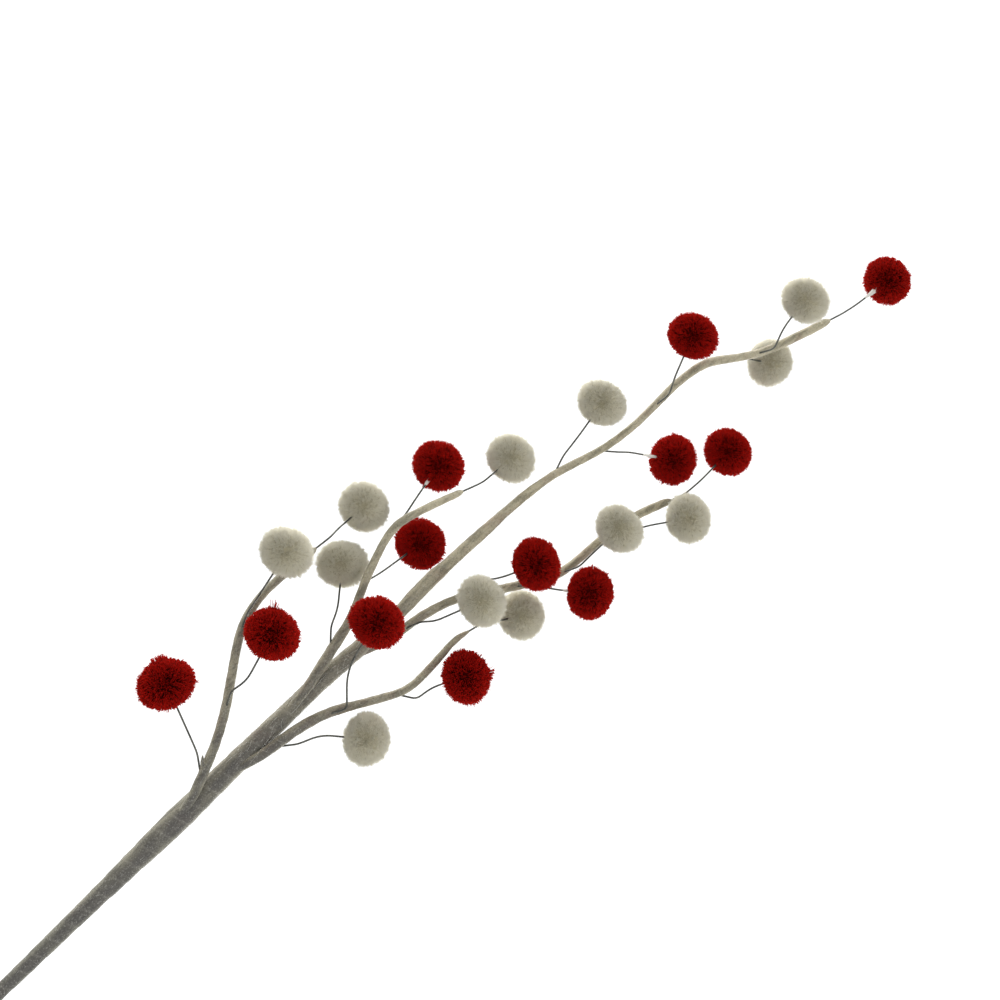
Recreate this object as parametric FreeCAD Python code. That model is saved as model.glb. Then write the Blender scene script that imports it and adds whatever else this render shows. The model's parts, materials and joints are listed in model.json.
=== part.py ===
import FreeCAD, Part
import math
import os

Vector = FreeCAD.Vector

# A pom pom spray: a taped stem that forks into five twigs, which carry 24 yarn balls on wires.
# Millimetres. +Z runs up the stem, +X to the right and +Y to the back.
# The origin is the middle of the stem's cut butt end.

# ---- Driving sizes ----
STEM_LENGTH = 170.0        # from the butt end to the collar, the fattest place of the stem
PIN_LENGTH = 60.0          # even round stretch at the butt, which goes into foam or a vase
POM_DIAMETER = 25.4        # across a yarn ball
POM_FLATNESS = 0.86        # a ball's length along its wire, as a share of its diameter
WIRE_DIAMETER = 0.9        # pom pom wires and twig leaders
ROD_DIAMETER = 4.0         # steel rod in the stem
PIN_WALL = 0.9             # wound tape on the rod at the butt
GAP = 0.06                 # room between wires, and between a wire and the tape round it
TAIL_LENGTH = 60.0         # how far a pom pom's wire runs down inside its twig
LEADER_TAIL = 70.0         # how far a twig's leader runs down inside the stem

# ---- Bends and joints ----
EXIT_ANGLE = 32.0          # between a twig and a wire that leaves it, degrees
EXIT_BEND = 1.0            # length of each half of the bend where a wire leaves
STAND_OFF = 1.2            # from the tape's surface to a wire's bending point
LEAD = 4.5                 # straight start of a wire after its bending point
TIP_RUN = 3.0              # wire seen between the end of a twig's tape and its bending point
SEAT = 0.75                # how far before the bending point the seat ends, in radii
FORK_GAP = 0.15            # room round a twig's rounded foot in its seat
BEND_SHARE = 0.45          # share of the shorter run that a bend may take
TAIL_SPACE = 3.6           # along a twig, from one wire's exit to the next tail on that side

# ---- Eye and bore in a ball ----
EYE_RADIUS = 1.5           # to the middle of the wire in the eye
EYE_ROOM = 0.3             # room round the eye
BORE_ROOM = 0.1            # room round the wire in the ball

# Places in the crown are written for 1 inch balls, and move apart as the balls grow.
SPREAD = POM_DIAMETER / 25.4

WIRE_RADIUS = WIRE_DIAMETER / 2
ROD_RADIUS = ROD_DIAMETER / 2
SLOT = WIRE_DIAMETER + GAP                               # from a leader to the tails round it
TWIG_BORE = SLOT + WIRE_RADIUS + 2 * GAP                 # inside of a twig's tape round a leader and tails
TIP_BORE = WIRE_RADIUS + GAP                             # inside of the tape round a leader alone
ROD_SLOT = ROD_RADIUS + WIRE_RADIUS + GAP                # from the rod to the leaders round it
STEM_BORE = ROD_SLOT + WIRE_RADIUS + 2 * GAP             # inside of the stem's tape round rod and leaders
ROD_BORE = ROD_RADIUS + GAP                              # inside of the stem's tape round the rod alone

# Stem above the pin: height above the collar, and thickness of the wound tape there.
STEM_WALLS = [(-57, 0.8), (-40, 1.4), (-23, 2.1), (-4, 2.7), (25, 1.7), (43, 1.0)]
# Top of the stem, which leans to the right: x, height above the collar, tape thickness.
STEM_TOP = [(0.0, 43, 1.0), (0.0, 64, 1.1), (1.6, 84, 0.9), (2.9, 112, 0.5)]
ROD_TOP = 60.0             # height of the rod's top above the collar
STUB_WALL = 0.4            # tape round a leader where it leaves the rod; it thickens to the twig's foot

# Each twig: depth of its foot, how the depth changes with x, the angle of its leader's place round
# the rod, the height where the leader leaves the rod, and the twig's route: x, height above the
# collar, tape thickness. The first point is the twig's bending point.
TWIGS = {
    "a": (-6.0, -0.12, 225, -7, [
        (-6.0, 7, 0.7), (-9.5, 15, 0.7), (-14.0, 25, 0.6), (-21.0, 37, 0.6), (-36.5, 57.5, 0.5),
        (-43.5, 68, 1.5), (-47.0, 82, 1.4), (-46.7, 101, 1.4), (-45.4, 115, 1.2)]),
    "b": (-4.8, 0.0, 190, 56, [
        (-4.2, 74, 0.7), (-6.2, 82, 0.9), (-9.0, 93, 0.9), (-12.0, 105, 0.6), (-19.5, 119, 0.4),
        (-27.0, 138, 0.3), (-29.0, 149, 1.4), (-25.0, 163, 1.3), (-18.5, 182, 1.0)]),
    "c": (0.0, -0.03, 80, 82, [
        (3.0, 119, 1.2), (1.8, 139, 1.9), (2.6, 165, 1.3), (4.0, 201, 0.7), (6.5, 221, 0.4),
        (15.0, 249, 0.3), (17.5, 268, 0.3), (17.0, 301, 0.5), (19.5, 318, 0.7), (35.5, 342, 1.5),
        (44.0, 367, 1.7), (49.5, 386, 1.4)]),
    "d": (0.0, 0.10, 350, 88, [
        (9.0, 115, 0.5), (11.0, 129, 0.6), (16.5, 147, 0.5), (31.0, 169, 0.6), (44.0, 190, 0.6),
        (46.5, 203, 0.5), (47.0, 218, 0.4), (51.0, 241, 1.6), (59.0, 261, 1.4)]),
    "e": (-5.6, 0.08, 315, 24, [
        (4.8, 39, 0.8), (7.0, 55, 0.9), (12.0, 70, 0.7), (22.0, 86, 0.4), (31.0, 102, 1.3),
        (30.6, 118, 1.3), (29.2, 133, 1.0), (31.5, 142, 0.5)]),
}

# Each pom pom: its twig, the side where its wire leaves, the height above the collar there, the
# wire's bend and the ball's middle, both as x, depth and height above the collar.
POMS = {
    "a1": ("a", "left", 10.5, (-23.0, -5.0, 18.5), (-47.4, -4.0, 26.9)),
    "a2": ("a", "front", 37.0, (-26.0, -12.5, 52.0), (-34.7, -20.0, 72.7)),
    "a3": ("a", "front", 65.0, (-50.0, -12.0, 83.0), (-56.0, -19.0, 101.0)),
    "a4": ("a", "end", 115.0, (-44.3, 3.0, 128.0), (-41.8, 13.0, 145.5)),
    "b1": ("b", "left", 88.0, (-18.4, 0.0, 103.5), (-29.9, 9.5, 119.8)),
    "b2": ("b", "back", 111.0, (-15.0, 8.0, 129.0), (-9.0, 20.0, 155.6)),
    "b3": ("b", "back", 148.0, (-30.2, 3.0, 166.2), (-31.9, 11.0, 184.6)),
    "b4": ("b", "end", 182.0, (-13.9, 1.0, 193.5), (-11.6, 6.0, 212.4)),
    "c1": ("c", "left", 222.0, (1.6, -1.0, 243.5), (-2.7, -4.0, 261.6)),
    "c2": ("c", "right", 247.0, (25.3, 1.0, 258.2), (44.7, 4.0, 274.4)),
    "c3": ("c", "front", 282.0, (12.7, -6.0, 298.0), (3.2, -10.0, 317.0)),
    "c4": ("c", "back", 330.0, (40.0, 10.0, 345.0), (48.8, 17.0, 354.0)),
    "c5": ("c", "front", 341.0, (32.5, -9.0, 359.0), (29.0, -15.0, 373.8)),
    "c6": ("c", "end", 386.0, (54.0, 0.0, 403.0), (57.9, 3.0, 427.9)),
    "d1": ("d", "front", 118.0, (15.0, -9.0, 131.0), (20.8, -18.5, 151.3)),
    "d2": ("d", "left", 151.0, (22.0, -9.0, 166.8), (27.5, -16.0, 182.5)),
    "d3": ("d", "front", 171.0, (45.0, -7.5, 183.5), (57.0, -12.0, 194.0)),
    "d4": ("d", "front", 193.0, (45.5, -8.0, 208.5), (44.0, -15.0, 224.5)),
    "d5": ("d", "right", 227.0, (55.5, -5.0, 238.5), (65.5, -13.0, 254.9)),
    "d6": ("d", "end", 261.0, (62.7, 5.0, 279.0), (63.5, 8.0, 301.4)),
    "e1": ("e", "right", 41.5, (16.0, -7.0, 59.5), (31.5, -9.0, 72.7)),
    "e2": ("e", "front", 67.0, (-1.0, -20.0, 86.5), (-8.1, -28.0, 108.4)),
    "e3": ("e", "right", 97.0, (36.5, -8.0, 110.5), (42.5, -13.5, 123.8)),
    "e4": ("e", "end", 142.0, (36.5, 3.0, 150.0), (48.7, 13.0, 168.0)),
}


def crown(x, depth, height):
    """A place in the crown, from its x, its depth and its height above the collar."""
    return Vector(x * SPREAD, depth * SPREAD, STEM_LENGTH + height * SPREAD)


def unit(vector):
    """The vector's direction."""
    return vector * (1.0 / vector.Length)


class Route:
    """Straight runs through a list of points, joined by tangent arcs as large as the runs allow."""

    def __init__(self, points):
        self.pieces = []
        self.corners = [0.0]
        here = points[0]
        length = 0.0
        for i in range(1, len(points)):
            direction = unit(points[i] - points[i - 1])
            last = i == len(points) - 1
            half = 0.0
            if not last:
                onward = unit(points[i + 1] - points[i])
                runs = min((points[i] - points[i - 1]).Length, (points[i + 1] - points[i]).Length)
                half = BEND_SHARE * runs
            run = (points[i] - direction * half - here).Length
            self.pieces.append(("run", length, run, here, direction, None, None))
            length += run
            if not last:
                turn = direction.getAngle(onward)
                radius = half / math.tan(turn / 2)
                axis = unit(direction.cross(onward))
                start = points[i] - direction * half
                centre = start + axis.cross(direction) * radius
                self.pieces.append(("arc", length, radius * turn, start, direction, centre, axis))
                self.corners.append(length + radius * turn / 2)
                length += radius * turn
                here = points[i] + onward * half
        self.corners.append(length)
        self.length = length

    def at(self, distance):
        """The point and the direction of the route at a distance along it."""
        piece = [p for p in self.pieces if p[1] <= distance + 1e-9][-1]
        kind, begin, _, start, direction, centre, axis = piece
        along = distance - begin
        if kind == "run":
            return start + direction * along, direction
        radius = (start - centre).Length
        turn = FreeCAD.Rotation(axis, math.degrees(along / radius))
        return centre + turn.multVec(start - centre), turn.multVec(direction)

    def at_height(self, height):
        """The distance along the route where it reaches a height."""
        low, high = 0.0, self.length
        while high - low > 1e-4:
            middle = (low + high) / 2
            if self.at(middle)[0].z < height:
                low = middle
            else:
                high = middle
        return low

    def edges(self, begin, end, shift=None):
        """Lines and arcs between two distances, moved aside by shift(direction)."""
        shift = shift or (lambda direction: Vector(0, 0, 0))

        def place(distance):
            point, direction = self.at(distance)
            return point + shift(direction)

        found = []
        for kind, start, length, _, _, _, _ in self.pieces:
            low, high = max(begin, start), min(end, start + length)
            if high - low < 1e-3:
                continue
            if kind == "run":
                found.append(Part.LineSegment(place(low), place(high)).toShape())
            else:
                found.append(Part.Arc(place(low), place((low + high) / 2), place(high)).toShape())
        return found


def pipe(edges, radius):
    """A round bar along edges that follow one another."""
    start = edges[0].valueAt(edges[0].FirstParameter)
    heading = edges[0].tangentAt(edges[0].FirstParameter)
    circle = Part.Wire(Part.makeCircle(radius, start, heading))
    return Part.Wire(edges).makePipe(Part.Face(circle))


def wound_tape(route, radii):
    """The outside of tape wound along a route: cones on the runs, even tubes round the bends."""
    solids = []
    corner = 0
    for kind, begin, length, start, direction, _, _ in route.pieces:
        if kind == "run":
            first, second = radii[corner], radii[corner + 1]
            if abs(first - second) < 1e-6:
                solids.append(Part.makeCylinder(first, length, start, direction))
            else:
                solids.append(Part.makeCone(first, second, length, start, direction))
        else:
            corner += 1
            solids.append(pipe(route.edges(begin, begin + length), radii[corner]))
    return solids[0].fuse(solids[1:])


class Twig:
    """A twig's route, its sizes along it, and the sides of its tape."""

    def __init__(self, name):
        depth, lean, self.angle, self.leave, rows = TWIGS[name]
        foot_x = rows[0][0]
        self.points = [crown(x, depth + lean * (x - foot_x), h) for x, h, _ in rows]
        self.route = Route(self.points)
        # The route lies in one upright plane; this is that plane's direction to the back.
        self.back = unit(Vector(-lean, 1, 0))
        exits = [p[2] for p in POMS.values() if p[0] == name and p[1] != "end"]
        self.last_exit = self.route.at_height(crown(0, 0, max(exits)).z)
        self.radii = []
        for distance, row in zip(self.route.corners, rows):
            bore = TWIG_BORE if distance < self.last_exit + SLOT else TIP_BORE
            self.radii.append(bore + row[2])

    def side(self, name, direction):
        """The direction to a side of the twig, at a place where it runs along direction."""
        right = self.back.cross(direction)
        return {"right": right, "left": -right, "back": self.back, "front": -self.back}[name]

    def radius_at(self, distance):
        """The tape's outside radius at a distance along the twig."""
        stations = self.route.corners
        for i in range(1, len(stations)):
            if distance <= stations[i]:
                share = (distance - stations[i - 1]) / (stations[i] - stations[i - 1])
                return self.radii[i - 1] + share * (self.radii[i] - self.radii[i - 1])
        return self.radii[-1]


class Exit:
    """Where a pom pom's wire leaves its twig: its bend, its bending point and its direction there."""

    def __init__(self, twig, side, height):
        route = twig.route
        if side == "end":
            self.inside = route.length
            _, self.heading = route.at(self.inside)
            self.pivot = route.at(self.inside)[0] + self.heading * TIP_RUN
            self.edges_out = [Part.LineSegment(route.at(self.inside)[0], self.pivot).toShape()]
            return
        self.inside = route.at_height(crown(0, 0, height).z)
        centre, direction = route.at(self.inside)
        outward = twig.side(side, direction)
        angle = math.radians(EXIT_ANGLE)
        self.heading = direction * math.cos(angle) + outward * math.sin(angle)
        start = centre + outward * SLOT
        corner = start + direction * EXIT_BEND
        bend_end = corner + self.heading * EXIT_BEND
        bend_radius = EXIT_BEND / math.tan(angle / 2)
        bend_centre = start + outward * bend_radius
        middle = bend_centre + unit(corner - bend_centre) * bend_radius
        reach = twig.radius_at(self.inside) + STAND_OFF - SLOT
        self.pivot = corner + self.heading * (reach / math.sin(angle))
        self.edges_out = [
            Part.Arc(start, middle, bend_end).toShape(),
            Part.LineSegment(bend_end, self.pivot).toShape(),
        ]


def seated(solid, pivot, heading, radius, room):
    """Cut a bar off before a bending point, with a hollow for the round end that turns in it."""
    reach = 4 * radius                                    # wide enough to take off what lies beyond
    side = unit(heading.cross(Vector(0.3, 0.2, 1)))
    corner = pivot - heading * (SEAT * radius) - side * reach - heading.cross(side) * reach
    plane = FreeCAD.Placement(corner, FreeCAD.Rotation(side, heading.cross(side), heading, "ZXY"))
    block = Part.makeBox(2 * reach, 2 * reach, 3 * reach)
    block.Placement = plane
    return solid.cut([block, Part.makeSphere(radius + room, pivot)])


def pom_leg(exit_, bend, middle):
    """A wire from its bending point to the eye in its ball."""
    route = Route([exit_.pivot, exit_.pivot + exit_.heading * LEAD, bend, middle])
    _, inward = route.at(route.length)
    bar = pipe(route.edges(0, route.length - EYE_RADIUS), WIRE_RADIUS)
    across = unit(inward.cross(Vector(0, 1, 0)))
    eye = Part.makeTorus(EYE_RADIUS, WIRE_RADIUS, middle, across)
    foot = Part.makeSphere(WIRE_RADIUS, exit_.pivot)
    return bar.fuse([eye, foot]), inward


def yarn_ball(middle, inward):
    """A slightly flat ball turned round its wire, with the wire's bore and room for the eye."""
    across = POM_DIAMETER / 2
    along = across * POM_FLATNESS
    bore = WIRE_RADIUS + BORE_ROOM
    room = EYE_RADIUS + WIRE_RADIUS + EYE_ROOM
    # Half of the section, with the wire coming in along the axis from below.
    entry_angle = -math.acos(bore / across)
    entry = Vector(bore, along * math.sin(entry_angle), 0)
    room_entry = Vector(bore, -math.sqrt(room ** 2 - bore ** 2), 0)
    ellipse = Part.Ellipse(Vector(0, 0, 0), across, along)
    section = [
        Part.ArcOfEllipse(ellipse, entry_angle, math.pi / 2).toBSpline().toShape(),
        Part.LineSegment(Vector(0, along, 0), Vector(0, room, 0)).toShape(),
        Part.Arc(Vector(0, room, 0), Vector(room, 0, 0), room_entry).toShape(),
        Part.LineSegment(room_entry, entry).toShape(),
    ]
    ball = Part.Face(Part.Wire(section)).revolve(Vector(0, 0, 0), Vector(0, 1, 0), 360)
    ball.Placement = FreeCAD.Placement(middle, FreeCAD.Rotation(Vector(0, 1, 0), inward))
    return ball


def twig_parts(twig, exits):
    """A twig's tape and the wires in it."""
    route = twig.route
    foot_radius = twig.radii[0]
    tape = wound_tape(route, twig.radii).fuse(Part.makeSphere(foot_radius, twig.points[0]))
    floor = foot_radius                                   # the bore starts above the rounded foot
    wide = pipe(route.edges(floor, twig.last_exit + EXIT_BEND), TWIG_BORE)
    narrow = pipe(route.edges(twig.last_exit, route.length), TIP_BORE)
    holes = [narrow]
    wires = []
    used = {}
    for side, exit_ in exits:
        if side == "end":
            edges = route.edges(floor + GAP, exit_.inside) + exit_.edges_out
        else:
            free = used.get(side, 0.0) + TAIL_SPACE * SPREAD
            begin = max(exit_.inside - TAIL_LENGTH * SPREAD, floor + GAP, free)
            used[side] = exit_.inside

            def aside(direction, side=side):
                return twig.side(side, direction) * SLOT

            edges = route.edges(begin, exit_.inside, aside) + exit_.edges_out
            holes.append(pipe(exit_.edges_out, WIRE_RADIUS + GAP))
        bar = pipe(edges, WIRE_RADIUS)
        wires.append(seated(bar, exit_.pivot, exit_.heading, WIRE_RADIUS, GAP))
    return tape.cut(wide.fuse(holes)), Part.makeCompound(wires)


def stub(twig):
    """The route of a twig's leader in the stem: up beside the rod, then out to the twig's foot."""
    angle = math.radians(twig.angle)
    x, y = ROD_SLOT * math.cos(angle), ROD_SLOT * math.sin(angle)
    low = Vector(x, y, crown(0, 0, twig.leave).z - LEADER_TAIL)
    leave = Vector(x, y, crown(0, 0, twig.leave).z)
    return Route([low, leave, twig.points[0]])


def turned(outline):
    """A solid turned round the Z axis from an outline of (radius, height) points."""
    points = [Vector(radius, 0, height) for radius, height in outline]
    wire = Part.makePolygon(points + [points[0]])
    return Part.Face(wire).revolve(Vector(0, 0, 0), Vector(0, 0, 1), 360)


def stem_parts(twigs):
    """The stem's tape with its five stubs, and the rod with the leaders' tails."""
    outline = [(0.0, 0.0), (ROD_BORE + PIN_WALL, 0.0), (ROD_BORE + PIN_WALL, PIN_LENGTH)]
    outline += [(STEM_BORE + wall, crown(0, 0, height).z) for height, wall in STEM_WALLS]
    outline.append((0.0, outline[-1][1]))
    top = Route([crown(x, 0, height) for x, height, _ in STEM_TOP])
    solids = [turned(outline), wound_tape(top, [STEM_BORE + wall for _, _, wall in STEM_TOP])]
    rod_top = crown(0, 0, ROD_TOP).z
    lowest = min(crown(0, 0, twig.leave).z for twig in twigs.values()) - LEADER_TAIL - WIRE_DIAMETER
    bore = turned([(0, -1), (ROD_BORE, -1), (ROD_BORE, lowest), (STEM_BORE, lowest),
                   (STEM_BORE, rod_top + GAP), (0, rod_top + GAP)])
    wires = [Part.makeCylinder(ROD_RADIUS, rod_top)]
    holes = []
    for twig in twigs.values():
        route = stub(twig)
        foot = twig.radii[0]
        bend_end = route.pieces[2][1]
        end = route.length - foot - 2 * FORK_GAP          # clear of the foot and of its seat
        outer = [WIRE_RADIUS + GAP + STUB_WALL, foot]
        straight = Route([route.at(bend_end)[0], twig.points[0]])
        _, heading = straight.at(straight.length)
        solids.append(seated(wound_tape(straight, outer), twig.points[0], heading, foot, FORK_GAP))
        wires.append(pipe(route.edges(0, end), WIRE_RADIUS))
        holes.append(pipe(route.edges(0, route.length), WIRE_RADIUS + GAP))
    tape = solids[0].fuse(solids[1:])
    return tape.cut(bore.fuse(holes)), Part.makeCompound(wires)


def main():
    os.makedirs("parts", exist_ok=True)
    nodes = {}
    twigs = {name: Twig(name) for name in TWIGS}
    exits = {}
    for pom, (twig_name, side, height, bend, middle) in POMS.items():
        exit_ = Exit(twigs[twig_name], side, height)
        exits.setdefault(twig_name, []).append((side, exit_))
        leg, inward = pom_leg(exit_, crown(*bend), crown(*middle))
        nodes["pom_" + pom + "_wire"] = leg
        nodes["pom_" + pom + "_yarn_ball"] = yarn_ball(crown(*middle), inward)
    for name, twig in twigs.items():
        tape, wires = twig_parts(twig, exits[name])
        nodes["twig_" + name + "_tape"] = tape
        nodes["twig_" + name + "_wires"] = wires
    nodes["stem_tape"], nodes["stem_rod"] = stem_parts(twigs)
    for name, shape in nodes.items():
        print(name, len(shape.Solids), shape.isValid(), round(shape.Volume, 2))
        shape.exportStep("parts/" + name + ".step")


main()
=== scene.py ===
# %% [markdown]
# # A pom pom spray
# A stiff taped stem forks into five twigs, and twenty-four balls of cut yarn sit on thin wires.
# The CAD model fixes where everything is and how it bends. This script gives each part its looks:
# wound paper tape, bare wire and cut yarn. Loading the frame comes first, because every piece
# takes its place from it, and the box of the CAD model is kept: it is printed, and the lamps aim at
# its middle.

# %% Load the frame
import json
import math

import bpy
import numpy as np
from mathutils import Matrix, Vector

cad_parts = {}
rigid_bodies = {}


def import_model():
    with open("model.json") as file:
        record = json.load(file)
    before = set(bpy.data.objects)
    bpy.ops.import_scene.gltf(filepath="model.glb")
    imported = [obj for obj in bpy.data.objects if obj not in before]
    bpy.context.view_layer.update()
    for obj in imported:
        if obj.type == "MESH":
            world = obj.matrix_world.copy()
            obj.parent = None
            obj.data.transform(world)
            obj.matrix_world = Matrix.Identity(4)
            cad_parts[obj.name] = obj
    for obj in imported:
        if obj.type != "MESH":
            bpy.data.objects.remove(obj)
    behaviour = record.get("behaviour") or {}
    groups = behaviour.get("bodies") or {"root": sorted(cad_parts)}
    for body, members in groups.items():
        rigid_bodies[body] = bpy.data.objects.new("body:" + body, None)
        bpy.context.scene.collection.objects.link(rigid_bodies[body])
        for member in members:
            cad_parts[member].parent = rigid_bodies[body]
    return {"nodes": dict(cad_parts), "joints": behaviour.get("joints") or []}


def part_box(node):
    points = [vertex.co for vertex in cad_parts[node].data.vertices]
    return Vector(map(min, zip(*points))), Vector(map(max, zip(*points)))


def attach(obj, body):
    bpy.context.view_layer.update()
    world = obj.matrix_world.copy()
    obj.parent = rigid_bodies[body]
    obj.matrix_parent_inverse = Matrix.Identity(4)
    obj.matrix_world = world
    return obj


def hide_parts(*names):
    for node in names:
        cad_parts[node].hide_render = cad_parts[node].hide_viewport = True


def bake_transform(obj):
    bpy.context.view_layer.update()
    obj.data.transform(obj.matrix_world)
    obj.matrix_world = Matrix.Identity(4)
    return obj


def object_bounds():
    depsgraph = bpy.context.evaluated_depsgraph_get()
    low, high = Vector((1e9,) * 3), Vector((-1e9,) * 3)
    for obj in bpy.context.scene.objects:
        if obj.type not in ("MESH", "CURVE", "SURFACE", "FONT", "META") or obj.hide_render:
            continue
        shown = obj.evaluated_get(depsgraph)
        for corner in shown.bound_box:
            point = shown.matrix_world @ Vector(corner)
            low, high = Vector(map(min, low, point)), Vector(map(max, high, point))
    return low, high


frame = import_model()
cad_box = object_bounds()
joints = {joint["name"]: joint for joint in frame["joints"]}
MM = 0.001
print("CAD box in mm:", [[round(x / MM, 1) for x in corner] for corner in cad_box])

# %% [markdown]
# ## The camera
# The camera looks up along the spray and is rolled, so that the upright stem crosses the picture
# from its lower left corner to the upper right. A long lens keeps the balls the same size.

# %% Place the camera
def make_camera(place, right, up, back, lens):
    """A camera from its place and its three axes: right and up in its picture, and backwards."""
    data = bpy.data.cameras.new("camera")
    data.lens, data.sensor_width, data.clip_start = lens, 36.0, 0.01
    camera = bpy.data.objects.new("camera", data)
    turn = Matrix((right, up, back)).transposed().to_4x4()
    camera.matrix_world = Matrix.Translation(Vector(place) * MM) @ turn
    bpy.context.scene.collection.objects.link(camera)
    bpy.context.scene.camera = camera
    return camera


camera = make_camera((-163.2, -656.8, 186.7), (0.6323, -0.3420, 0.6951), (-0.7397, 0.0, 0.6729),
                     (-0.2301, -0.9397, -0.2530), 54)
bpy.context.scene.view_settings.view_transform = "Standard"
print("camera at", [round(x, 3) for x in camera.location])

# %% [markdown]
# ## Shader sums as Python sums
# A material in Blender is a net of nodes. Wiring each sum by hand hides what it means, so this
# class wraps one output of a node and lets `*`, `+` and `-` add the Math nodes. Everything else
# comes from one method, which makes a node, sets it up and joins its inputs.

# %% Wrap node outputs so that they add and multiply
class Signal:
    """One output of a node, which takes part in sums as a number does."""

    def __init__(self, finish, socket):
        self.finish, self.socket = finish, socket

    def math(self, operation, first, second):
        """A Math node for one sum, which hands back its result."""
        return self.finish.node("Math", {"operation": operation}, {0: first, 1: second})

    def __add__(self, other):
        return self.math("ADD", self, other)

    def __sub__(self, other):
        return self.math("SUBTRACT", self, other)

    def __rsub__(self, other):
        return self.math("SUBTRACT", other, self)

    def __mul__(self, other):
        return self.math("MULTIPLY", self, other)

    def __pow__(self, other):
        return self.math("POWER", self, other)

    __radd__, __rmul__ = __add__, __mul__


class Finish:
    """A material whose nodes are made from Python expressions."""

    def __init__(self, name):
        self.material = bpy.data.materials.new(name)
        self.material.use_nodes = True
        self.nodes, self.links = self.material.node_tree.nodes, self.material.node_tree.links
        self.nodes.clear()

    def node(self, kind, settings, inputs, output=0):
        """Make a node, set it up, fill or join its inputs, and hand back one of its outputs."""
        node = self.nodes.new("ShaderNode" + kind)
        for key, value in settings.items():
            setattr(node, key, value)
        for key, value in inputs.items():
            if isinstance(value, Signal):
                self.links.new(value.socket, node.inputs[key])
            else:
                node.inputs[key].default_value = value
        return Signal(self, node.outputs[output] if len(node.outputs) else None)

    def blend(self, share, first, second):
        """The first colour where the share is 0, and the second where it is 1."""
        inputs = {0: share, 6: first, 7: second}
        return self.node("Mix", {"data_type": "RGBA"}, inputs, 2)

    def ramp(self, value, low, high):
        """0 below low, 1 above high, and straight between them."""
        return self.node("MapRange", {}, {"Value": value, "From Min": low, "From Max": high})

    def speckle(self, place, scale, detail=2.0):
        """Soft random spots from 0 to 1, so many to a metre."""
        return self.node("TexNoise", {}, {"Vector": place, "Scale": scale, "Detail": detail})

    def done(self, surface):
        """Join the surface to the material's output and hand back the material."""
        self.node("OutputMaterial", {}, {"Surface": surface})
        return self.material


def colour(red, green, blue):
    """A colour with full cover, for a node's input."""
    return (red, green, blue, 1.0)

# %% [markdown]
# ## Reading the twigs and wires off the frame
# Every twig and wire is a tube in the CAD model. A flat cut across a tube gives a ring of points,
# and the middle of that ring is on the tube's middle line. A row of such cuts gives the whole line
# and how thick the tube is, so the new pieces follow the CAD without a list of numbers here.

# %% Cut across a CAD node
def unit(vectors):
    """The same directions with length 1: each vector over its own length."""
    return vectors / np.linalg.norm(vectors, axis=-1, keepdims=True)


def corners(node):
    """All corner points of a CAD node's mesh, as rows."""
    mesh = frame["nodes"][node].data
    points = np.empty(len(mesh.vertices) * 3, np.float32)
    mesh.vertices.foreach_get("co", points)
    return points.reshape(-1, 3).astype(float)


def cuts(node, begin, end, distances, across):
    """Cut a tube square to the line from begin to end, at distances along it.
    Each edge that crosses a cut gives one point, at the share of the edge where its height above
    begin equals the distance. The ring's middle is half way between its outermost points in two
    directions, and its radius is half its spread in the direction across."""
    mesh, points = frame["nodes"][node].data, corners(node)
    pairs = np.empty(len(mesh.edges) * 2, np.int32)
    mesh.edges.foreach_get("vertices", pairs)
    first, second = points[pairs[0::2]], points[pairs[1::2]]
    along = unit(end - begin)
    side = unit(across - along * (across @ along))
    other = np.cross(along, side)
    low, high = (first - begin) @ along, (second - begin) @ along
    middles, radii = [], []
    for distance in distances:
        hit = (low < distance) != (high < distance)
        if hit.sum() < 6:
            continue
        share = ((distance - low[hit]) / (high[hit] - low[hit]))[:, None]
        ring = first[hit] + (second[hit] - first[hit]) * share - begin
        spread = np.stack([ring @ side, ring @ other], 1)
        least, most = spread.min(0), spread.max(0)
        middle = (least + most) / 2
        middles.append(begin + along * distance + side * middle[0] + other * middle[1])
        radii.append((most[0] - least[0]) / 2)
    return np.array(middles), np.array(radii)


def evened(points, values, spacing, reach):
    """Points and values set at even spacing along their line, then softened.
    Each new point is the mean of its neighbours up to reach steps away. Past the ends the line is
    mirrored through its last point, so the ends stay where they are."""
    steps = np.linalg.norm(np.diff(points, axis=0), axis=1)
    length = np.concatenate([[0.0], np.cumsum(steps)])
    count = max(int(round(length[-1] / spacing)), 4)
    places = np.linspace(0.0, length[-1], count + 1)
    table = np.column_stack([points, values])
    table = np.column_stack([np.interp(places, length, column) for column in table.T])
    reach = min(reach, count)
    before = 2 * table[0] - table[reach:0:-1]
    after = 2 * table[-1] - table[-2:-reach - 2:-1]
    padded = np.vstack([before, table, after])
    window = np.hanning(2 * reach + 3)[1:-1]
    window /= window.sum()
    soft = np.column_stack([np.convolve(column, window, "valid") for column in padded.T])
    return soft[:, :3], soft[:, 3]


FORWARD = np.array([0.0, -1.0, 0.0])
UPWARD = np.array([0.0, 0.0, 1.0])
CUT_SPACING = 1.5 * MM    # between the cuts across the stem and the twigs
RING_SPACING = 0.6 * MM   # between the rings of every new tube


def hinge(name):
    """The bending point of a joint, in metres."""
    return np.array(joints[name]["pos_m"], float)


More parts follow.
